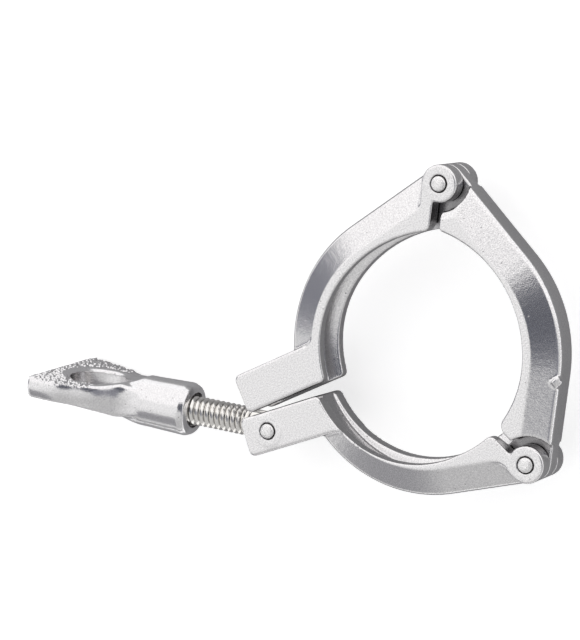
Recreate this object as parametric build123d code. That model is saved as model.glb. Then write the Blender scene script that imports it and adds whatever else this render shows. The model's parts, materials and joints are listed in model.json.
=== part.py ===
"""Sanitary hinged clamp: two jaws and a middle link on rivet pins, closed by a swing bolt and a wing nut.

Millimetres. The ring's axis is Z, its centre is the origin, and the jaws part at -X.
"""
from build123d import *
import os
from math import acos, cos, degrees, radians, sin, sqrt, tan

# ---------------------------------------------------------------- ring section
lip_radius = 22.25        # inner lips, which pass over the pipe ferrule's neck
rim_radius = 24.0         # outer edge of the flat front and back rims
edge_radius = 29.2        # where the sloping flank ends
ring_radius = 29.7        # outer wall
groove_radius = 25.6      # bottom of the V-groove
groove_mouth = 7.0        # width of the V-groove at the lips
groove_flank_deg = 20.0   # slope of each groove flank
body_width = 11.4         # over the two rims
edge_width = 6.8          # over the outer edges of the flanks
wall_width = 5.4          # flat part of the outer wall

# ---------------------------------------------------------------- hinges
upper_hinge_distance = 34.2
upper_hinge_deg = 61.3
lower_hinge_distance = 31.6
lower_hinge_deg = -64.2
boss_radius = 3.85        # knuckles round the hinge pins
boss_proud = 0.12         # machined spot faces stand this far above the rims
boss_chamfer = 0.3
tongue_width = 3.8        # the link's single tongue
side_clearance = 0.12     # each side of the tongue
swing_clearance = 0.4     # round the tongue in the jaw's slot
recess_radius = 5.6       # relief in the link round the jaw's knuckles
recess_bevel = 1.5        # bevel from the link's rims into the upper relief
recess_bevel_depth = 0.8
jaw_nose_offset = 0.9     # rims of a jaw stop this far short of the hinge's radial line
link_nose_offset = 1.1    # rims of the link start this far past it
upper_stem_fan_deg = 3.0  # the knuckle's stem widens by this towards the rim
lower_stem_fan_deg = 9.0
upper_stem_round = 1.5    # concave corner between the stem and the rim
lower_stem_round = 4.5
pin_radius = 1.75
pin_end_height = 0.55     # peened end above the spot face
pin_end_chamfer = 0.4
running_clearance = 0.05  # radial, in every hole that turns on a pin or a thread

# ---------------------------------------------------------------- inner lips
# Each segment's lip follows the clamping circle between two angles, then eases outward
# on one arc, given by two of its points as (radius, angle).
upper_lip_circle_deg = (190.0, 120.0)
upper_lip_ease = ((22.7, 95.0), (24.9, 58.0))
link_lip_circle_deg = (-75.0, -22.0)
link_lip_ease = ((22.9, 15.0), (25.2, 64.0))
lower_lip_circle_deg = (-50.0, -90.0)
lower_lip_ease = ((23.95, -135.0), (25.1, -186.0))
jaw_nose_round = 1.6      # corners of the lips beside the hinges
link_upper_nose_round = 1.0
link_lower_nose_round = 2.4
parting_round = 1.3       # corners of the lips at the parting faces

# ---------------------------------------------------------------- fork ears
ear_tilt_deg = 2.65       # the two ears meet at their tips first
ear_round = 1.2           # corners of the ear in plan
ear_edge_round = 0.6      # edges of its front and back faces
ear_root_x = -19.0        # the ear's block ends here, inside the ring's wall
upper_ear_tip_x = -42.0
upper_ear_face_y = 0.15   # parting face at the tip
upper_ear_height = 8.4
upper_ear_web_radius = 2.4
lower_ear_tip_x = -44.4
lower_ear_face_y = -0.3
lower_ear_height = 8.3
lower_ear_web_radius = 4.0
fork_slot_width = 6.7

# ---------------------------------------------------------------- swing bolt
bolt_pin_x = -38.8
bolt_pin_y = -4.6
bolt_pad_radius = 3.2
bolt_rest_deg = 151.8     # direction of the open bolt
bolt_shank_radius = 3.05  # 1/4 in thread, over the crests
bolt_eye_radius = 4.1
bolt_eye_width = 6.2
bolt_eye_room = 0.5       # from the eye to the fork's root
bolt_shank_room = 0.75    # from the closed bolt to the upper fork's root
bolt_length = 33.0        # pin to tip
bolt_tip_chamfer = 0.7

# ---------------------------------------------------------------- wing nut
nut_mouth_at = 20.3       # pin to the nut's mouth, along the bolt
nut_roll_deg = 2.4        # how far the nut is turned on its thread
nut_barrel_radius = 5.8   # at its widest, behind the mouth
nut_barrel_waist = 5.55
nut_mouth_radius = 3.8    # counterbore
nut_mouth_depth = 2.4
nut_mouth_round = 1.7      # the mouth's rim, taken off in two bevels
nut_mouth_mid = 0.5        # corner between the two bevels, in from each end
nut_barrel_end = 43.0     # the barrel runs on under the wing
nut_bore_end = 38.5
wing_tip_at = 55.0
wing_start = 30.5
wing_tip_half_width = 13.7
# along the bolt, half width of the wing in plan
wing_plan = ((32.0, 5.3), (36.0, 6.4), (40.0, 9.6), (45.0, 11.75), (wing_tip_at, wing_tip_half_width))
# along the bolt, height above and below its axis where the barrel tapers into the wing
wing_top = ((wing_start, 6.2), (33.0, 5.1), (36.0, 4.05), (40.0, 3.3), (45.0, 3.05), (wing_tip_at, 3.5))
wing_bottom = ((wing_start, -6.2), (33.5, -5.2), (37.0, -3.6), (41.0, -2.3), (45.0, -1.6), (wing_tip_at, -1.0))
wing_shoulder = 2.7       # half thickness of the wing where it starts, inside the barrel
wing_corner = 1.1
wing_hole_at = 44.9       # egg-shaped hole through the wing
wing_hole_radius = 6.3
wing_hole_toe_at = 37.4
wing_hole_toe_radius = 1.1

# ---------------------------------------------------------------- casting mark
gate_deg = -31.0          # small lozenge on the link's front outer edge
gate_size = 1.8
gate_height = 0.45

# ---------------------------------------------------------------- worked out
half_width = body_width / 2
slot_half = tongue_width / 2 + side_clearance
reach = 200.0             # larger than the clamp, for cutting planes


def at(distance, angle_deg):
    """Point at a distance from the ring's centre, in the direction of an angle."""
    return Vector(distance * cos(radians(angle_deg)), distance * sin(radians(angle_deg)), 0)


def tangent_spread(hinge_distance):
    """Angle at the centre from a hinge to where its straight outer wall leaves the ring's circle."""
    return degrees(acos((ring_radius - boss_radius) / hinge_distance))


def tangent_run(hinge_distance):
    """Length of that straight wall, from the ring's circle to beside the hinge pin."""
    return sqrt(hinge_distance ** 2 - (ring_radius - boss_radius) ** 2)


upper_hinge = at(upper_hinge_distance, upper_hinge_deg)
lower_hinge = at(lower_hinge_distance, lower_hinge_deg)
bolt_hinge = Vector(bolt_pin_x, bolt_pin_y, 0)


def band_face(inset, height, arc_from, arc_to, run_before, run_after):
    """Sector of the clamp's body, drawn in by inset, with straight runs beside its arc."""
    radius = ring_radius - inset
    first, last = at(radius, arc_from), at(radius, arc_to)
    corners = [first, last]
    edges = [ThreePointArc(first, at(radius, (arc_from + arc_to) / 2), last)]
    if run_before:
        corners[0] = first + at(run_before, arc_from - 90)
        edges.insert(0, Line(corners[0], first))
    if run_after:
        corners[1] = last + at(run_after, arc_to + 90)
        edges.append(Line(last, corners[1]))
    edges.append(Line(corners[1], (0, 0)))
    edges.append(Line((0, 0), corners[0]))
    return Pos(0, 0, height) * make_face(edges)


def band(*path):
    """Body of one segment before its ends are cut: outer wall, bevels and sloping flanks."""
    sections = [
        band_face(0, wall_width / 2, *path),
        band_face(ring_radius - edge_radius, edge_width / 2, *path),
        band_face(ring_radius - rim_radius, half_width, *path),
    ]
    side = loft(sections, ruled=True)
    core = extrude(band_face(0, -wall_width / 2, *path), amount=wall_width)
    return core + side + mirror(side, about=Plane.XY)


def side_of_hinge(hinge, hinge_deg, offset, turn):
    """Half plane beside a hinge's radial line: turn is +1 for larger angles and -1 for smaller."""
    out, across = at(1, hinge_deg), at(turn, hinge_deg + 90)
    near = hinge + across * offset
    points = [near + out * reach, near + (out + across) * reach, near + (across - out) * reach, near - out * reach]
    return make_face(Polyline(*points, close=True))


def lip_face(circle_deg, ease):
    """Opening inside one segment's lips: the clamping circle, then the arc that eases away from it."""
    start, knee = (at(lip_radius, angle) for angle in circle_deg)
    half = at(lip_radius, sum(circle_deg) / 2)
    middle, end = (at(*point) for point in ease)
    return make_face([
        Line((0, 0), start),
        ThreePointArc(start, half, knee),
        ThreePointArc(knee, middle, end),
        Line(end, (0, 0)),
    ])


def round_inner(face, corner, radius):
    """Rounds the one corner of a plan face that is nearest to a point."""
    return fillet(face.vertices().sort_by_distance(corner)[0], radius)


def through(face, width=reach):
    """A plan face made a solid that is centred on the ring's middle plane."""
    return extrude(face, amount=width / 2, both=True)


def pin_hole(centre, radius):
    return Pos(centre) * Cylinder(radius, reach)


def groove():
    """The V-groove that takes the ferrule flanges."""
    def half_mouth(radius):
        return groove_mouth / 2 - (radius - lip_radius) * tan(radians(groove_flank_deg))
    inner = lip_radius - 3
    profile = Plane.XZ * make_face(Polyline(
        (inner, -half_mouth(inner)), (groove_radius, -half_mouth(groove_radius)),
        (groove_radius, half_mouth(groove_radius)), (inner, half_mouth(inner)), close=True))
    return revolve(profile, axis=Axis.Z)


def tongue_face(hinge, hinge_deg, turn, wall_deg):
    """Plan of the link's tongue: the knuckle, its neck along the outer wall, and its toe by the lips."""
    inward, across = at(-1, hinge_deg), at(turn, hinge_deg + 90)
    toe = hinge + inward * (hinge.length - groove_radius) - across * jaw_nose_offset
    neck = hinge + at(2 * recess_radius, wall_deg + 90 * turn)
    circles = [
        Pos(hinge) * Circle(boss_radius),
        Pos(neck) * Circle(boss_radius),
        Pos(toe) * Circle(boss_radius / 4),
    ]
    return make_hull(Sketch(children=circles).edges())


def rim_face(path, hinge, hinge_deg, turn, fan_deg, stem_round):
    """A jaw's flat rim in plan, with the stem that carries its knuckle."""
    rim = band_face(ring_radius - rim_radius, 0, *path)
    rim &= side_of_hinge(hinge, hinge_deg, jaw_nose_offset, turn)
    across = at(turn, hinge_deg + 90)
    left = hinge + at(turn * boss_radius, hinge_deg + 90 + turn * fan_deg)
    stem_length = hinge.length - rim_radius + 1
    stem = make_face(Polyline(
        left, left + at(-stem_length, hinge_deg + turn * fan_deg),
        hinge + across * jaw_nose_offset + at(-stem_length, hinge_deg),
        hinge + across * jaw_nose_offset, close=True))
    corner = left + at(-boss_radius, hinge_deg)
    return round_inner(rim + stem, corner, stem_round)


def knuckle(hinge):
    """A jaw's two round clevis ears, before the slot between them is cut."""
    boss = Cylinder(boss_radius, body_width + 2 * boss_proud)
    return Pos(hinge) * chamfer(boss.edges().filter_by(GeomType.CIRCLE), boss_chamfer)


def ear(tip_x, face_y, height, turn):
    """Fork ear block: turn is +1 above the parting line and -1 below it. Its corners and edges are rounded."""
    length = ear_root_x - tip_x
    plan = Pos(length / 2, turn * height / 2) * Rectangle(length, height)
    plan = fillet(plan.vertices().filter_by(lambda v: v.X < length / 2), ear_round)
    block = through(plan, body_width)
    faces = block.faces().filter_by(Plane.XY)
    rims = faces.edges().filter_by(lambda e: e.center().X < length - 0.01)
    block = fillet(rims, ear_edge_round)
    return Pos(tip_x, face_y) * Rot(0, 0, turn * ear_tilt_deg) * block


def ear_web(tip_x, face_y, height, turn, web_radius):
    """Concave corner that blends the ear's outer face into the rim."""
    tilt = turn * ear_tilt_deg
    along, up = at(1, tilt), at(turn, tilt + 90)
    corner = Vector(tip_x, face_y, 0) + up * height
    # the web arc touches the ear's outer face and the rim's circle
    lift = Vector(corner).dot(up) + web_radius
    span = rim_radius + web_radius
    centre = up * lift - along * sqrt(span ** 2 - lift ** 2)
    on_rim = centre * (rim_radius / span)
    on_ear = centre - up * web_radius
    inside = (on_rim + on_ear) * 0.5 + along * web_radius - up * web_radius
    mid = centre + (inside - centre).normalized() * web_radius
    back = at(rim_radius - 2, 180 - turn * 12)
    return make_face([ThreePointArc(on_ear, mid, on_rim), Line(on_rim, back), Line(back, on_ear)])


def rivet(centre, width):
    """Headless pin with peened ends."""
    pin = Cylinder(pin_radius, width + 2 * pin_end_height)
    return Pos(centre) * chamfer(pin.edges().filter_by(GeomType.CIRCLE), pin_end_chamfer)


# ---------------------------------------------------------------- link
upper_spread, upper_run = tangent_spread(upper_hinge_distance), tangent_run(upper_hinge_distance)
lower_spread, lower_run = tangent_spread(lower_hinge_distance), tangent_run(lower_hinge_distance)
link_path = (lower_hinge_deg + lower_spread, upper_hinge_deg - upper_spread, lower_run, upper_run)
upper_tongue = tongue_face(upper_hinge, upper_hinge_deg, -1, link_path[1])
lower_tongue = tongue_face(lower_hinge, lower_hinge_deg, 1, link_path[0])

upper_relief = side_of_hinge(upper_hinge, upper_hinge_deg, -link_nose_offset, 1)
lower_relief = side_of_hinge(lower_hinge, lower_hinge_deg, -link_nose_offset, -1)
link_room = lip_face(link_lip_circle_deg, link_lip_ease) + upper_relief + lower_relief
link_room = round_inner(link_room, at(rim_radius, upper_hinge_deg), link_upper_nose_round)
link_room = round_inner(link_room, at(lip_radius, lower_hinge_deg), link_lower_nose_round)

link = band(*link_path) - through(link_room)
for hinge in (upper_hinge, lower_hinge):
    relief = Cylinder(recess_radius, reach) - Cylinder(recess_radius, tongue_width)
    link -= Pos(hinge) * relief
bevel = Pos(0, 0, half_width - recess_bevel_depth / 2) * Cone(
    recess_radius, recess_radius + recess_bevel, recess_bevel_depth)
link -= Pos(upper_hinge) * (bevel + mirror(bevel, about=Plane.XY))
tongues = through(upper_tongue, tongue_width) + through(lower_tongue, tongue_width)
link += tongues - through(lip_face(link_lip_circle_deg, link_lip_ease))
gate_mark = Rot(0, 45, 0) * Rot(0, 0, 45) * Box(gate_size, gate_size, 2 * gate_height)
link += Rot(0, 0, gate_deg) * Pos(edge_radius, 0, edge_width / 2) * gate_mark
link -= groove()
link -= pin_hole(upper_hinge, pin_radius + running_clearance)
link -= pin_hole(lower_hinge, pin_radius + running_clearance)

# ---------------------------------------------------------------- jaws


def jaw(path, hinge, hinge_deg, turn, stem, tongue, ear_sizes, web_radius, lip_circle_deg, lip_ease):
    tip_x, face_y, height = ear_sizes
    body = band(*path) + through(rim_face(path, hinge, hinge_deg, turn, *stem), body_width)
    body += ear(tip_x, face_y, height, turn)
    body += through(ear_web(tip_x, face_y, height, turn, web_radius), body_width)
    # what lies past the nose, past the parting face and inside the lips
    past_nose = side_of_hinge(hinge, hinge_deg, -jaw_nose_offset, -turn)
    past_parting = Pos(tip_x, face_y) * Rot(0, 0, turn * ear_tilt_deg) * Rectangle(
        reach, reach / 4, align=(Align.CENTER, Align.MAX if turn > 0 else Align.MIN))
    room = lip_face(lip_circle_deg, lip_ease) + past_nose + past_parting
    room = round_inner(room, at(lip_radius, hinge_deg), jaw_nose_round)
    room = round_inner(room, at(lip_radius, 180), parting_round)
    body -= through(room)
    body += knuckle(hinge)
    body -= groove()
    body -= through(offset(tongue, swing_clearance), 2 * slot_half)
    return body - pin_hole(hinge, pin_radius)


def fork_slot(root_x):
    return Pos(root_x, 0, 0) * Box(reach, reach, fork_slot_width, align=(Align.MAX, Align.CENTER, Align.CENTER))


upper_path = (upper_hinge_deg + upper_spread, 180.0, upper_run, 0)
lower_path = (180.0, 360 + lower_hinge_deg - lower_spread, 0, lower_run)
upper_jaw = jaw(upper_path, upper_hinge, upper_hinge_deg, 1, (upper_stem_fan_deg, upper_stem_round), upper_tongue,
                (upper_ear_tip_x, upper_ear_face_y, upper_ear_height), upper_ear_web_radius,
                upper_lip_circle_deg, upper_lip_ease)
upper_jaw -= fork_slot(bolt_pin_x + bolt_shank_radius + bolt_shank_room)

lower_jaw = jaw(lower_path, lower_hinge, lower_hinge_deg, -1, (lower_stem_fan_deg, lower_stem_round), lower_tongue,
                (lower_ear_tip_x, lower_ear_face_y, lower_ear_height), lower_ear_web_radius,
                lower_lip_circle_deg, lower_lip_ease)
lower_jaw += Pos(bolt_hinge) * Cylinder(bolt_pad_radius, body_width + 2 * boss_proud)
lower_jaw -= fork_slot(bolt_pin_x + bolt_eye_radius + bolt_eye_room)
lower_jaw -= pin_hole(bolt_hinge, pin_radius)

# ---------------------------------------------------------------- pins
pin_span = body_width + 2 * boss_proud
upper_hinge_pin = rivet(upper_hinge, pin_span)
lower_hinge_pin = rivet(lower_hinge, pin_span)
bolt_pin = rivet(bolt_hinge, pin_span)

# ---------------------------------------------------------------- swing bolt and wing nut, drawn along +X
shank = Rot(0, 90, 0) * Cylinder(bolt_shank_radius, bolt_length, align=(Align.CENTER, Align.CENTER, Align.MIN))
shank = chamfer(shank.edges().sort_by(Axis.X)[-1], bolt_tip_chamfer)
eye = Cylinder(bolt_eye_radius, bolt_eye_width)
swing_bolt = eye + shank - Cylinder(pin_radius + running_clearance, reach)

rim_from, rim_to = nut_mouth_at + nut_mouth_mid, nut_mouth_at + nut_mouth_round
barrel_profile = make_face(Polyline(
    (nut_mouth_at, 0), (nut_mouth_at, nut_barrel_radius - nut_mouth_round),
    (rim_from, nut_barrel_radius - nut_mouth_mid), (rim_to, nut_barrel_radius),
    (wing_start, nut_barrel_waist), (nut_barrel_end, nut_barrel_waist), (nut_barrel_end, 0), close=True))
barrel = revolve(barrel_profile, axis=Axis.X)

# the side view cuts barrel and wing alike; the plan cuts the wing alone
ahead = nut_mouth_at - 1
side_view = Plane.XY * make_face([
    Spline(*wing_top, tangents=[(1, -0.35), (1, 0.06)]),
    Line(wing_top[-1], wing_bottom[-1]),
    Spline(*wing_bottom, tangents=[(1, 0.3), (1, 0.05)]),
    Polyline(wing_bottom[0], (ahead, wing_bottom[0][1]), (ahead, wing_top[0][1]), wing_top[0]),
])
shoulders = Plane.XY * make_face(Polyline(
    (wing_start, wing_shoulder), wing_top[2], (wing_tip_at, 2 * wing_top[2][1]),
    (wing_tip_at, 2 * wing_bottom[2][1]), wing_bottom[2], (wing_start, -wing_shoulder), close=True))
near_edge = Spline(*wing_plan, tangents=[(1, 0.1), (1, 0)])
plan = make_face([
    near_edge,
    Line(wing_plan[-1], (wing_tip_at, -wing_tip_half_width)),
    mirror(near_edge, about=Plane.XZ),
    Line(wing_plan[0], (wing_plan[0][0], -wing_plan[0][1])),
])
plan = fillet(plan.vertices().group_by(Axis.X)[-1], wing_corner)
hole = make_hull(Sketch(children=[
    Pos(wing_hole_at, 0) * Circle(wing_hole_radius),
    Pos(wing_hole_toe_at, 0) * Circle(wing_hole_toe_radius),
]).edges())
slab = through(Plane.XZ * plan, 4 * wing_tip_half_width) & through(shoulders, 4 * wing_tip_half_width)
wing_nut = (barrel + slab) & through(side_view, 4 * wing_tip_half_width)
wing_nut -= through(Plane.XZ * hole, 4 * wing_tip_half_width)
along_bolt = Rot(0, 90, 0)
from_mouth = (Align.CENTER, Align.CENTER, Align.MIN)
wing_nut -= Pos(nut_mouth_at, 0, 0) * along_bolt * Cylinder(
    bolt_shank_radius + running_clearance, nut_bore_end - nut_mouth_at, align=from_mouth)
wing_nut -= Pos(nut_mouth_at, 0, 0) * along_bolt * Cylinder(nut_mouth_radius, nut_mouth_depth, align=from_mouth)

open_position = Pos(bolt_hinge) * Rot(0, 0, bolt_rest_deg)
swing_bolt = open_position * swing_bolt
wing_nut = open_position * Rot(180 - nut_roll_deg, 0, 0) * wing_nut

# ---------------------------------------------------------------- files
parts = {
    "upper_jaw": upper_jaw,
    "link": link,
    "lower_jaw": lower_jaw,
    "upper_hinge_pin": upper_hinge_pin,
    "lower_hinge_pin": lower_hinge_pin,
    "bolt_pin": bolt_pin,
    "swing_bolt": swing_bolt,
    "wing_nut": wing_nut,
}
os.makedirs("parts", exist_ok=True)
for name, solid in parts.items():
    export_step(solid, f"parts/{name}.step")
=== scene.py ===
import bpy
import json
from math import pi, radians
from mathutils import Matrix, Vector


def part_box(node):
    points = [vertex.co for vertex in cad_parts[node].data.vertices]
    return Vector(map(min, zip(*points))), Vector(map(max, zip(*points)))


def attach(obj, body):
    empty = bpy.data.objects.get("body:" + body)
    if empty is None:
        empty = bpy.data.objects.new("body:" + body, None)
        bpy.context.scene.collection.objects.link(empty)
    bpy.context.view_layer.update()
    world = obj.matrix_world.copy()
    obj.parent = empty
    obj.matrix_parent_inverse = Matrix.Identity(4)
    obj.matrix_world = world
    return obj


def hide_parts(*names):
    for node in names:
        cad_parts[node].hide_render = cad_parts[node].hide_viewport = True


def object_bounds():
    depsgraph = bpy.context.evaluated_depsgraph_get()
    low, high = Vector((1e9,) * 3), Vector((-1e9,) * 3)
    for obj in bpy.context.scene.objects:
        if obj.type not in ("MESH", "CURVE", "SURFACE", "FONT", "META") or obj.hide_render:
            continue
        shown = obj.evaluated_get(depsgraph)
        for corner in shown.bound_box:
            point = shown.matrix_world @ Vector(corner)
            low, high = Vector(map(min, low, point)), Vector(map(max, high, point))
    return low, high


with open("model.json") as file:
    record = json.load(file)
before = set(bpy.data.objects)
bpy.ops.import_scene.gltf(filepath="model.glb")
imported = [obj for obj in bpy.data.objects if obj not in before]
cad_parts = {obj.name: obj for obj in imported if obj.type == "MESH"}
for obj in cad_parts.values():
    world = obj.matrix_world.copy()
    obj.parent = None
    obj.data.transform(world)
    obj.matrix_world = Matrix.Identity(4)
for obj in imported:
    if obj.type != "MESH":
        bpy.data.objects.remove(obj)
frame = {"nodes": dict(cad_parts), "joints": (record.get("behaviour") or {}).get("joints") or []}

cad_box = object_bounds()
scene = bpy.context.scene

# ---------------------------------------------------------------- camera
# A long lens looks down on the front rims from the right, about half a metre away.
camera_at = Vector((0.2154696, -0.0179251, 0.4682532))
camera_axes = ((0.8277, -0.3294, -0.4543), (0.3205, 0.9420, -0.0990), (0.4606, -0.0637, 0.8853))
bpy.ops.object.camera_add(location=camera_at)
camera = bpy.context.object
camera.name = "camera"
camera.rotation_euler = Matrix(camera_axes).transposed().to_euler()
camera.data.sensor_fit = "HORIZONTAL"
camera.data.sensor_width = 36
camera.data.lens = 157.1
camera.data.clip_start = 0.05
scene.camera = camera

# ---------------------------------------------------------------- floor and studio
# A plain floor of matt white paint, just under the lowest point of the wing. It keeps the clamp's soft
# shadow, and a lift that lights nothing else makes it white to the camera and in the steel.
floor_gap = 0.0002
floor_z = cad_box[0].z - floor_gap
bpy.ops.mesh.primitive_plane_add(size=8, location=(0, 0, floor_z))
floor = bpy.context.object
floor.name = "floor"
floor_white = bpy.data.materials.new("floor_white")
floor_white.use_nodes = True


def reckon(tree, operation, *values):
    """Adds one step of arithmetic. Each value is a number or another node's output."""
    step = tree.nodes.new("ShaderNodeMath")
    step.operation = operation
    for socket, value in zip(step.inputs, values):
        if isinstance(value, (int, float)):
            socket.default_value = value
        else:
            tree.links.new(value, socket)
    return step.outputs[0]


tree = floor_white.node_tree
nodes, links = tree.nodes, tree.links
nodes.clear()
paint = nodes.new("ShaderNodeBsdfDiffuse")
paint.inputs["Color"].default_value = (0.84, 0.84, 0.84, 1)
lift = nodes.new("ShaderNodeEmission")
lift_strength = 0.52
seen = nodes.new("ShaderNodeLightPath")
seen_or_mirrored = reckon(tree, "MAXIMUM", seen.outputs["Is Camera Ray"], seen.outputs["Is Glossy Ray"])
seen_at_all = reckon(tree, "MAXIMUM", seen_or_mirrored, seen.outputs["Is Transmission Ray"])
links.new(reckon(tree, "MULTIPLY", seen_at_all, lift_strength), lift.inputs["Strength"])
add = nodes.new("ShaderNodeAddShader")
links.new(paint.outputs[0], add.inputs[0])
links.new(lift.outputs[0], add.inputs[1])
out = nodes.new("ShaderNodeOutputMaterial")
links.new(add.outputs[0], out.inputs["Surface"])
floor.data.materials.append(floor_white)

# Round grey cards lie on the floor, under the ring, under the wing nut and past the nut toward -X and -Y.
# Only their reflections in the steel show, along the walls, the rims and the underside.
# Each has a width, a centre and a tone.
cards = (
    ("ring_card", 0.17, (0.010, 0.002), 0.36),
    ("nut_card", 0.08, (-0.080, 0.014), 0.46),
    ("side_card", 0.26, (-0.230, -0.100), 0.30),
)
for name, across, centre, tone in cards:
    above_floor = 0.000001 / across  # a smaller card lies on top of a larger one
    bpy.ops.mesh.primitive_circle_add(
        vertices=64, radius=across / 2, fill_type="NGON", location=(*centre, floor_z + above_floor))
    card = bpy.context.object
    card.name = name
    card.visible_camera = False
    card.visible_diffuse = False
    card.visible_shadow = False
    card_grey = bpy.data.materials.new(name)
    card_grey.use_nodes = True
    card_paper = card_grey.node_tree.nodes["Principled BSDF"]
    card_paper.inputs["Base Color"].default_value = (tone, tone, tone * 1.02, 1)
    card_paper.inputs["Roughness"].default_value = 0.9
    card.data.materials.append(card_grey)

# The room: a large white softbox over the +Y side, walls that fall off to grey, and dark gaps between them.
room = bpy.data.worlds.new("studio_room")
scene.world = room
room.use_nodes = True


def spread(tree, value, low, high, to_low=0, to_high=1, curve="LINEAR"):
    """Adds a step that stretches low to high over to_low to to_high, and holds the ends."""
    ramp = tree.nodes.new("ShaderNodeMapRange")
    ramp.interpolation_type = curve
    ramp.inputs["From Min"].default_value = low
    ramp.inputs["From Max"].default_value = high
    ramp.inputs["To Min"].default_value = to_low
    ramp.inputs["To Max"].default_value = to_high
    tree.links.new(value, ramp.inputs["Value"])
    return ramp.outputs["Result"]


def blend(tree, share, below, above):
    """Adds a mix of two colours. Each is a red, green and blue, or another node's output."""
    mixer = tree.nodes.new("ShaderNodeMix")
    mixer.data_type = "RGBA"
    tree.links.new(share, mixer.inputs["Factor"])
    for socket, colour in ((mixer.inputs["A"], below), (mixer.inputs["B"], above)):
        if isinstance(colour, tuple):
            socket.default_value = (*colour, 1)
        else:
            tree.links.new(colour, socket)
    return mixer.outputs["Result"]


tree = room.node_tree
nodes, links = tree.nodes, tree.links
nodes.clear()
where = nodes.new("ShaderNodeTexCoord")


def towards(way):
    """How far a view of the room points along way, from -1 to 1."""
    side = nodes.new("ShaderNodeVectorMath")
    side.operation = "DOT_PRODUCT"
    side.inputs[1].default_value = way
    links.new(where.outputs["Generated"], side.inputs[0])
    return side.outputs["Value"]


walls = nodes.new("ShaderNodeCombineColor")
wall_tone = spread(tree, towards((0.0, 1.0, 0.0)), -0.75, 0.0, 0.58, 0.99)
for channel in ("Red", "Green", "Blue"):
    links.new(wall_tone, walls.inputs[channel])
# the way to each part of the room, where its soft edge starts and ends, and its tone
room_parts = (
    ((0.34, 1.0, 0.0), 0.21, 0.28, (1.18, 1.17, 1.17)),  # the softbox
    ((0.45, -0.045, 0.892), 0.943, 0.957, (0.11, 0.115, 0.14)),  # a dark gap overhead, toward +X
    ((0.56, -0.40, 0.725), 0.950, 0.985, (0.26, 0.265, 0.30)),  # its dimmer side, toward -Y
    ((-0.80, -0.44, 0.41), 0.930, 0.980, (0.34, 0.34, 0.355)),  # a grey screen toward -X and -Y
    ((-0.815, 0.49, 0.31), 0.955, 0.985, (0.20, 0.205, 0.24)),  # a dark gap toward -X
)
room_tone = walls.outputs["Color"]
for way, edge_from, edge_to, tone in room_parts:
    share = spread(tree, towards(way), edge_from, edge_to, curve="SMOOTHSTEP")
    room_tone = blend(tree, share, room_tone, tone)
glow = nodes.new("ShaderNodeBackground")
links.new(room_tone, glow.inputs["Color"])
out = nodes.new("ShaderNodeOutputWorld")
links.new(glow.outputs[0], out.inputs["Surface"])
scene.view_settings.view_transform = "Standard"

# ---------------------------------------------------------------- jaws and link
# Two jaws and a link, investment cast in stainless steel, blasted, and satin polished in a tumbler.
# The grain of the shell mould stays as a fine pebble, and the clevis ears and tongues meet on the hinge pins.
cast_skin = bpy.data.node_groups.new("cast_skin", "ShaderNodeTree")
for name, start in (("Grain size", 0.35), ("Pit share", 0.3)):
    socket = cast_skin.interface.new_socket(name, in_out="INPUT", socket_type="NodeSocketFloat")
    socket.default_value = start
for name in ("Height", "Tone", "Pits"):
    cast_skin.interface.new_socket(name, in_out="OUTPUT", socket_type="NodeSocketFloat")
nodes, links = cast_skin.nodes, cast_skin.links
given = nodes.new("NodeGroupInput")
given_out = nodes.new("NodeGroupOutput")
place = nodes.new("ShaderNodeTexCoord")
per_metre = reckon(cast_skin, "DIVIDE", 1000, given.outputs["Grain size"])


def surface_noise(scale, detail, detail_strength):
    """Adds a soft noise over the piece and returns its height."""
    noise = nodes.new("ShaderNodeTexNoise")
    noise.inputs["Detail"].default_value = detail
    noise.inputs["Roughness"].default_value = detail_strength
    links.new(place.outputs["Object"], noise.inputs["Vector"])
    links.new(scale, noise.inputs["Scale"])
    return noise.outputs["Fac"]


# the mould's grain, and a broad unevenness 4.5 times as coarse
grain = surface_noise(per_metre, detail=2.5, detail_strength=0.6)
unevenness = surface_noise(reckon(cast_skin, "MULTIPLY", per_metre, 0.22), detail=1.0, detail_strength=0.5)
# small round pits in some of the cells of a coarser pattern
pit_cells = nodes.new("ShaderNodeTexVoronoi")
links.new(place.outputs["Object"], pit_cells.inputs["Vector"])
links.new(reckon(cast_skin, "MULTIPLY", per_metre, 0.35), pit_cells.inputs["Scale"])
pit_cup = spread(cast_skin, pit_cells.outputs["Distance"], 0.08, 0.22, 1, 0)
cell_number = nodes.new("ShaderNodeSeparateColor")
links.new(pit_cells.outputs["Color"], cell_number.inputs["Color"])
pit_here = reckon(cast_skin, "LESS_THAN", cell_number.outputs["Red"], given.outputs["Pit share"])
pits = reckon(cast_skin, "MULTIPLY", pit_cup, pit_here)
uneven_grain = reckon(cast_skin, "MULTIPLY_ADD", unevenness, 0.7, grain)
links.new(reckon(cast_skin, "SUBTRACT", uneven_grain, pits), given_out.inputs["Height"])
links.new(grain, given_out.inputs["Tone"])
links.new(pits, given_out.inputs["Pits"])


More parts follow.
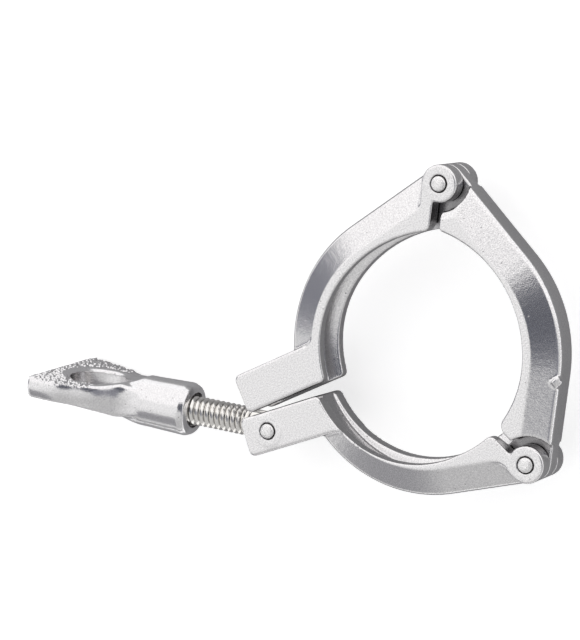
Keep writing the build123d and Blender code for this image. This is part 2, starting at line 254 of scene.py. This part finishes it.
def steel(name, light, dark, grain_mm, pit_share, roughness, bump_mm, shade_reach_mm, painted_shade_tone):
    """Bare stainless steel with a cast or tumbled skin, with shade painted darker into its colour in
    recesses.
    """
    skin = bpy.data.materials.new(name)
    skin.use_nodes = True
    tree = skin.node_tree
    nodes, links = tree.nodes, tree.links
    metal = nodes["Principled BSDF"]
    metal.inputs["Metallic"].default_value = 1
    grain = nodes.new("ShaderNodeGroup")
    grain.node_tree = cast_skin
    grain.inputs["Grain size"].default_value = grain_mm
    grain.inputs["Pit share"].default_value = pit_share
    grain_tone = spread(tree, grain.outputs["Tone"], 0.32, 0.68)
    colour = blend(tree, grain_tone, dark, light)
    pit_dark = reckon(tree, "MULTIPLY", grain.outputs["Pits"], 0.6)
    pitted = blend(tree, pit_dark, colour, (0.25, 0.24, 0.24))
    # Painted shade: the base colour darkens toward a dark tone in recesses and gaps, as far as the ambient
    # occlusion node finds them.
    occlusion = nodes.new("ShaderNodeAmbientOcclusion")
    occlusion.samples = 8
    occlusion.inputs["Distance"].default_value = shade_reach_mm / 1000
    unshaded = spread(tree, occlusion.outputs["AO"], 0.33, 0.84)
    links.new(blend(tree, unshaded, painted_shade_tone, pitted), metal.inputs["Base Color"])
    rough = spread(tree, grain.outputs["Tone"], 0, 1, roughness + 0.07, roughness - 0.05)
    links.new(rough, metal.inputs["Roughness"])
    bump = nodes.new("ShaderNodeBump")
    bump.inputs["Distance"].default_value = bump_mm / 1000
    links.new(grain.outputs["Height"], bump.inputs["Height"])
    links.new(bump.outputs["Normal"], metal.inputs["Normal"])
    return skin


same_place = 0.000005


def cast_copy(node, name, mesh_mm):
    """Copies a CAD node as one even skin, ready to be tumbled soft."""
    bpy.ops.object.select_all(action="DESELECT")
    piece = bpy.data.objects.new(name, frame["nodes"][node].data.copy())
    scene.collection.objects.link(piece)
    bpy.context.view_layer.objects.active = piece
    piece.select_set(True)
    bpy.ops.object.mode_set(mode="EDIT")
    bpy.ops.mesh.select_all(action="SELECT")
    bpy.ops.mesh.remove_doubles(threshold=same_place)
    bpy.ops.object.mode_set(mode="OBJECT")
    skin = piece.modifiers.new("skin", "REMESH")
    skin.mode = "VOXEL"
    skin.voxel_size = mesh_mm / 1000
    bpy.ops.object.modifier_apply(modifier=skin.name)
    return piece


def tumble(piece, factor, repeat, group_name=""):
    """Softens edges, all over or where the group's weights say."""
    smoothing = piece.modifiers.new("tumbling", "SMOOTH")
    smoothing.factor = factor
    smoothing.iterations = repeat
    smoothing.vertex_group = group_name
    bpy.ops.object.modifier_apply(modifier=smoothing.name)


# Its recess tone is painted shade in the hinge gaps and grooves.
satin_casting = steel(
    "satin_casting", light=(0.89, 0.88, 0.88), dark=(0.69, 0.68, 0.69), grain_mm=0.30, pit_share=0.06,
    roughness=0.18, bump_mm=0.022, shade_reach_mm=5.0, painted_shade_tone=(0.20, 0.195, 0.20))
for node, body in (("upper_jaw", "upper_jaw"), ("link", "link"), ("lower_jaw", "lower_jaw")):
    casting = cast_copy(node, "cast_" + node, mesh_mm=0.24)
    tumble(casting, factor=0.5, repeat=5)
    bpy.ops.object.shade_smooth()
    casting.data.materials.clear()
    casting.data.materials.append(satin_casting)
    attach(casting, body)
    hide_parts(node)

# ---------------------------------------------------------------- hinge pins and bolt pin
# Headless stainless pins, pressed through the ears. Both ends are peened to a low dome, which the hammer
# leaves slightly pebbled.
# Its recess tone is painted shade where the pin ends meet the ears.
peened_pin = steel(
    "peened_pin", light=(0.95, 0.94, 0.94), dark=(0.74, 0.73, 0.73), grain_mm=0.25, pit_share=0.25,
    roughness=0.15, bump_mm=0.10, shade_reach_mm=0.8, painted_shade_tone=(0.15, 0.15, 0.15))
dome_steps = ((0.30, 0.22), (0.35, 0.12), (0.45, 0.07))  # inward and up, in millimetres
pressed_into = (("upper_hinge_pin", "upper_jaw"), ("lower_hinge_pin", "lower_jaw"), ("bolt_pin", "lower_jaw"))
for node, body in pressed_into:
    low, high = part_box(node)
    centre = (low + high) / 2
    radius = (high.x - low.x) / 2
    dome_from = (high.z - low.z) / 2 - sum(rise for inward, rise in dome_steps) / 1000
    bpy.ops.object.select_all(action="DESELECT")
    bpy.ops.mesh.primitive_cylinder_add(vertices=48, radius=radius, depth=2 * dome_from, location=centre)
    pin = bpy.context.object
    pin.name = "peened_" + node
    bpy.ops.object.transform_apply(location=True, rotation=False, scale=False)
    bpy.ops.object.mode_set(mode="EDIT")
    for end in (1, -1):
        bpy.ops.mesh.select_all(action="DESELECT")
        bpy.ops.object.mode_set(mode="OBJECT")
        for face in pin.data.polygons:
            face.select = face.normal.z * end > 0.9
        bpy.ops.object.mode_set(mode="EDIT")
        bpy.ops.mesh.select_mode(type="FACE")
        for inward, rise in dome_steps:
            bpy.ops.mesh.inset(thickness=inward / 1000)
            bpy.ops.transform.translate(value=(0, 0, end * rise / 1000))
        bpy.ops.mesh.poke()
    bpy.ops.object.mode_set(mode="OBJECT")
    rounding = pin.modifiers.new("rounding", "SUBSURF")
    rounding.levels = rounding.render_levels = 1
    bpy.ops.object.modifier_apply(modifier=rounding.name)
    bpy.ops.object.shade_smooth()
    pin.data.materials.append(peened_pin)
    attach(pin, body)
    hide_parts(node)

# ---------------------------------------------------------------- swing bolt
# 1/4 in eye bolt, turned from bar: a flat eye on the pin and a rolled thread that runs right to the nut.
swing = next(joint for joint in frame["joints"] if joint["name"] == "bolt_swing")
turning = next(joint for joint in frame["joints"] if joint["name"] == "nut_turn")
bolt_pin_at = Vector(swing["pos_m"])
bolt_way = Vector(turning["axis"]).normalized()
bolt_turn = bolt_way.to_track_quat("Z", "Y").to_euler()
crest, root, pitch = 0.00304, 0.00258, 0.00127  # the first two are radii
thread_from, thread_to = 0.0062, 0.0329  # along the bolt from its pin
crest_rounding, crest_spare = 0.00038, 0.00027  # the rounding takes the spare height off the crest again
lead_in, spare_turns = 1.2 * pitch, 3  # the thread is wound past both ends and cut to length

# One tooth's section, wound up the bolt's axis.
bpy.ops.object.select_all(action="DESELECT")
bpy.ops.mesh.primitive_circle_add(vertices=4, radius=pitch / 2, rotation=(radians(90), 0, 0))
bolt = bpy.context.object
bolt.name = "threaded_swing_bolt"
bpy.ops.object.transform_apply(location=True, rotation=True, scale=True)
bpy.ops.object.mode_set(mode="EDIT")
bpy.ops.mesh.select_all(action="DESELECT")
bpy.ops.object.mode_set(mode="OBJECT")
for corner in bolt.data.vertices:
    corner.select = corner.co.x < -pitch / 4
bpy.ops.object.mode_set(mode="EDIT")
bpy.ops.mesh.select_mode(type="VERT")
bpy.ops.mesh.delete(type="VERT")
bpy.ops.object.mode_set(mode="OBJECT")
for corner in bolt.data.vertices:
    at_crest = corner.co.x > pitch / 4
    corner.co.x = crest + crest_spare if at_crest else root
    corner.select = at_crest
bpy.ops.object.mode_set(mode="EDIT")
bpy.ops.mesh.bevel(offset=crest_rounding, segments=2, affect="VERTICES")
bpy.ops.object.mode_set(mode="OBJECT")
winding = bolt.modifiers.new("winding", "SCREW")
winding.angle = 2 * pi
winding.screw_offset = pitch
winding.iterations = int((thread_to - thread_from) / pitch) + spare_turns
winding.steps = winding.render_steps = 40
winding.use_merge_vertices = True
winding.merge_threshold = 2 * same_place
bpy.ops.object.modifier_apply(modifier=winding.name)
bpy.ops.object.mode_set(mode="EDIT")
bpy.ops.mesh.select_all(action="SELECT")
bpy.ops.mesh.remove_doubles(threshold=2 * same_place)
bpy.ops.transform.translate(value=(0, 0, thread_from - lead_in))
bpy.ops.mesh.select_all(action="SELECT")
bpy.ops.mesh.bisect(plane_co=(0, 0, thread_from), plane_no=(0, 0, 1), use_fill=True, clear_inner=True)
bpy.ops.mesh.select_all(action="SELECT")
bpy.ops.mesh.bisect(plane_co=(0, 0, thread_to), plane_no=(0, 0, 1), use_fill=True, clear_outer=True)
bpy.ops.mesh.select_all(action="SELECT")
bpy.ops.mesh.normals_make_consistent(inside=False)
bpy.ops.object.mode_set(mode="OBJECT")
bpy.ops.object.shade_smooth_by_angle(angle=radians(35))

# The eye is a flat ring, and a short plain neck runs from it into the thread.
low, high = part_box("swing_bolt")
eye_radius, eye_hole, eye_width = 0.0041, 0.00182, high.z - low.z
eye_rim = 0.0005
bpy.ops.mesh.primitive_cylinder_add(
    vertices=64, radius=eye_radius, depth=eye_width, rotation=(0, radians(90), 0))
eye = bpy.context.object
bpy.ops.object.transform_apply(location=True, rotation=True, scale=True)
bpy.ops.object.mode_set(mode="EDIT")
bpy.ops.mesh.select_all(action="DESELECT")
bpy.ops.object.mode_set(mode="OBJECT")
for face in eye.data.polygons:
    face.select = abs(face.normal.x) > 0.9
bpy.ops.object.mode_set(mode="EDIT")
bpy.ops.mesh.select_mode(type="FACE")
bpy.ops.mesh.inset(thickness=eye_rim)
bpy.ops.mesh.inset(thickness=eye_radius - eye_hole - eye_rim)
bpy.ops.mesh.bridge_edge_loops()
bpy.ops.object.mode_set(mode="OBJECT")
easing = eye.modifiers.new("easing", "BEVEL")
easing.width = 0.0003
easing.segments = 3
easing.angle_limit = radians(50)
bpy.ops.object.modifier_apply(modifier=easing.name)
bpy.ops.object.shade_smooth_by_angle(angle=radians(35))
neck_radius, neck_length = root + 0.0003, 0.0048
bpy.ops.mesh.primitive_cylinder_add(
    vertices=48, radius=neck_radius, depth=neck_length, location=(0, 0, neck_length))
neck = bpy.context.object
bpy.ops.object.transform_apply(location=True, rotation=True, scale=True)
bpy.ops.object.shade_smooth_by_angle(angle=radians(35))
bpy.ops.object.select_all(action="DESELECT")
for part in (eye, neck, bolt):
    part.select_set(True)
bpy.context.view_layer.objects.active = bolt
bpy.ops.object.join()
bolt.rotation_euler = bolt_turn
bolt.location = bolt_pin_at
bpy.ops.object.transform_apply(location=True, rotation=True, scale=True)
# Its recess tone is painted shade in the thread's roots.
rolled_thread = steel(
    "rolled_thread", light=(0.90, 0.88, 0.85), dark=(0.82, 0.80, 0.77), grain_mm=0.25, pit_share=0.0,
    roughness=0.16, bump_mm=0.004, shade_reach_mm=0.6, painted_shade_tone=(0.16, 0.155, 0.15))
bolt.data.materials.clear()
bolt.data.materials.append(rolled_thread)
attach(bolt, "bolt")
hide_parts("swing_bolt")

# ---------------------------------------------------------------- wing nut
# One tumbled stainless casting that runs on the bolt's thread: a tapped barrel that flares into a flat wing
# with an egg-shaped finger hole. Its form is the CAD nut's, with a casting's soft corners and a pebbled grip.
nut = cast_copy("wing_nut", "cast_wing_nut", mesh_mm=0.2)

nut_up = bolt_way.cross(Vector((0, 0, 1)))
if nut_up.y < 0:
    nut_up = -nut_up


def nut_place(point):
    """Along the bolt from its pin, above its axis and across the wing, in millimetres."""
    arm = (point - bolt_pin_at) * 1000
    return arm.dot(bolt_way), arm.dot(nut_up), arm.z


def ease(value, low, high):
    """Rises softly from 0 at low to 1 at high."""
    share = min(max((value - low) / (high - low), 0), 1)
    return share * share * (3 - 2 * share)


def beyond_hole(along, across, round_end, toe):
    """How far a place on the wing lies outside an egg, whose round end and toe are each a (place, radius)."""
    steps = [share / 10 for share in range(11)]
    return min(
        ((along - toe[0] - share * (round_end[0] - toe[0])) ** 2 + across ** 2) ** 0.5
        - toe[1] - share * (round_end[1] - toe[1]) for share in steps)


# The wing's sides are crowned, fullest at half its thickness.
wing_middle, wing_half_thickness, crown = 1.1, 2.3, 0.048
for corner in nut.data.vertices:
    along, above, across = nut_place(corner.co)
    off_middle = (above - wing_middle) / wing_half_thickness
    corner.co.z -= corner.co.z * crown * min(off_middle ** 2, 1.3) * ease(along, 31, 37)

# The hole's upper edge is worn into a broad, bright bevel, egg-shaped in plan.
rim_outside = ((44.9, 7.3), (34.3, 0.9))
rim_wear = 0.0009
for corner in nut.data.vertices:
    along, above, across = nut_place(corner.co)
    if above > 1.5 and corner.normal.dot(nut_up) > 0.4 and 30 < along < 53:
        inward = -beyond_hole(along, across, *rim_outside)
        if inward > 0:
            corner.co -= nut_up * rim_wear * ease(inward, -0.3, 1.2)


def flare_share(corner):
    """The curve from the round barrel out to the wing's sides."""
    along, above, across = nut_place(corner.co)
    beside = ease(abs(across), 1.8, 3.6) if above > 0 else 1
    return ease(along, 27.5, 31) * (1 - ease(along, 38, 43)) * beside


def rim_share(corner):
    """The bevel round the hole."""
    along, above, across = nut_place(corner.co)
    if above < 1.0 or along < 30:
        return 0
    return 1 - ease(abs(beyond_hole(along, across, *rim_outside) + 0.5), 0.8, 1.3)


def underside_share(corner):
    """The lower edge, from the barrel out under the wing."""
    along, above, across = nut_place(corner.co)
    return ease(along, 31, 35) * (1 - ease(above, -0.6, 0.6)) * ease(abs(across), 3.0, 5.5)


def grip_share(corner):
    """The wing's upper face outside the hole, short of the tip's edge."""
    along, above, across = nut_place(corner.co)
    if corner.normal.dot(nut_up) < 0.55:
        return 0
    outside = ease(beyond_hole(along, across, *rim_outside), 0.3, 0.9)
    return outside * ease(along, 40, 42.5) * (1 - ease(along, 54.2, 54.8))


def mark(name, share_of, least=0):
    """Marks a part of the nut, so that a tool can work on it alone."""
    part = nut.vertex_groups.new(name=name)
    for corner in nut.data.vertices:
        share = share_of(corner)
        if share > least:
            part.add([corner.index], share, "REPLACE")


mark("flare", flare_share)
mark("rim", rim_share)
mark("underside", underside_share)
tumble(nut, factor=0.5, repeat=6)
tumble(nut, factor=0.5, repeat=90, group_name="flare")
tumble(nut, factor=0.5, repeat=40, group_name="underside")
tumble(nut, factor=0.5, repeat=8, group_name="rim")

# Raised pebbles give the fingers a grip. A last light tumble takes off their points.
mark("grip", grip_share, least=0.01)
pebble = bpy.data.textures.new("pebble", "VORONOI")
pebble.noise_scale = 0.0007
pebbling = nut.modifiers.new("pebbling", "DISPLACE")
pebbling.texture = pebble
pebbling.texture_coords = "LOCAL"
pebbling.vertex_group = "grip"
pebbling.mid_level = 0.6
pebbling.strength = -0.0009
bpy.ops.object.modifier_apply(modifier=pebbling.name)
tumble(nut, factor=0.3, repeat=1, group_name="grip")
bpy.ops.object.shade_smooth()
# Its recess tone is painted shade in the nut's bore and hollows.
tumbled_casting = steel(
    "tumbled_casting", light=(0.86, 0.85, 0.855), dark=(0.72, 0.71, 0.72), grain_mm=0.30, pit_share=0.16,
    roughness=0.16, bump_mm=0.018, shade_reach_mm=1.2, painted_shade_tone=(0.30, 0.29, 0.29))
nut.data.materials.clear()
nut.data.materials.append(tumbled_casting)
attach(nut, "nut")
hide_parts("wing_nut")

# ---------------------------------------------------------------- last update
# The view layer is brought up to date.
bpy.context.view_layer.update()
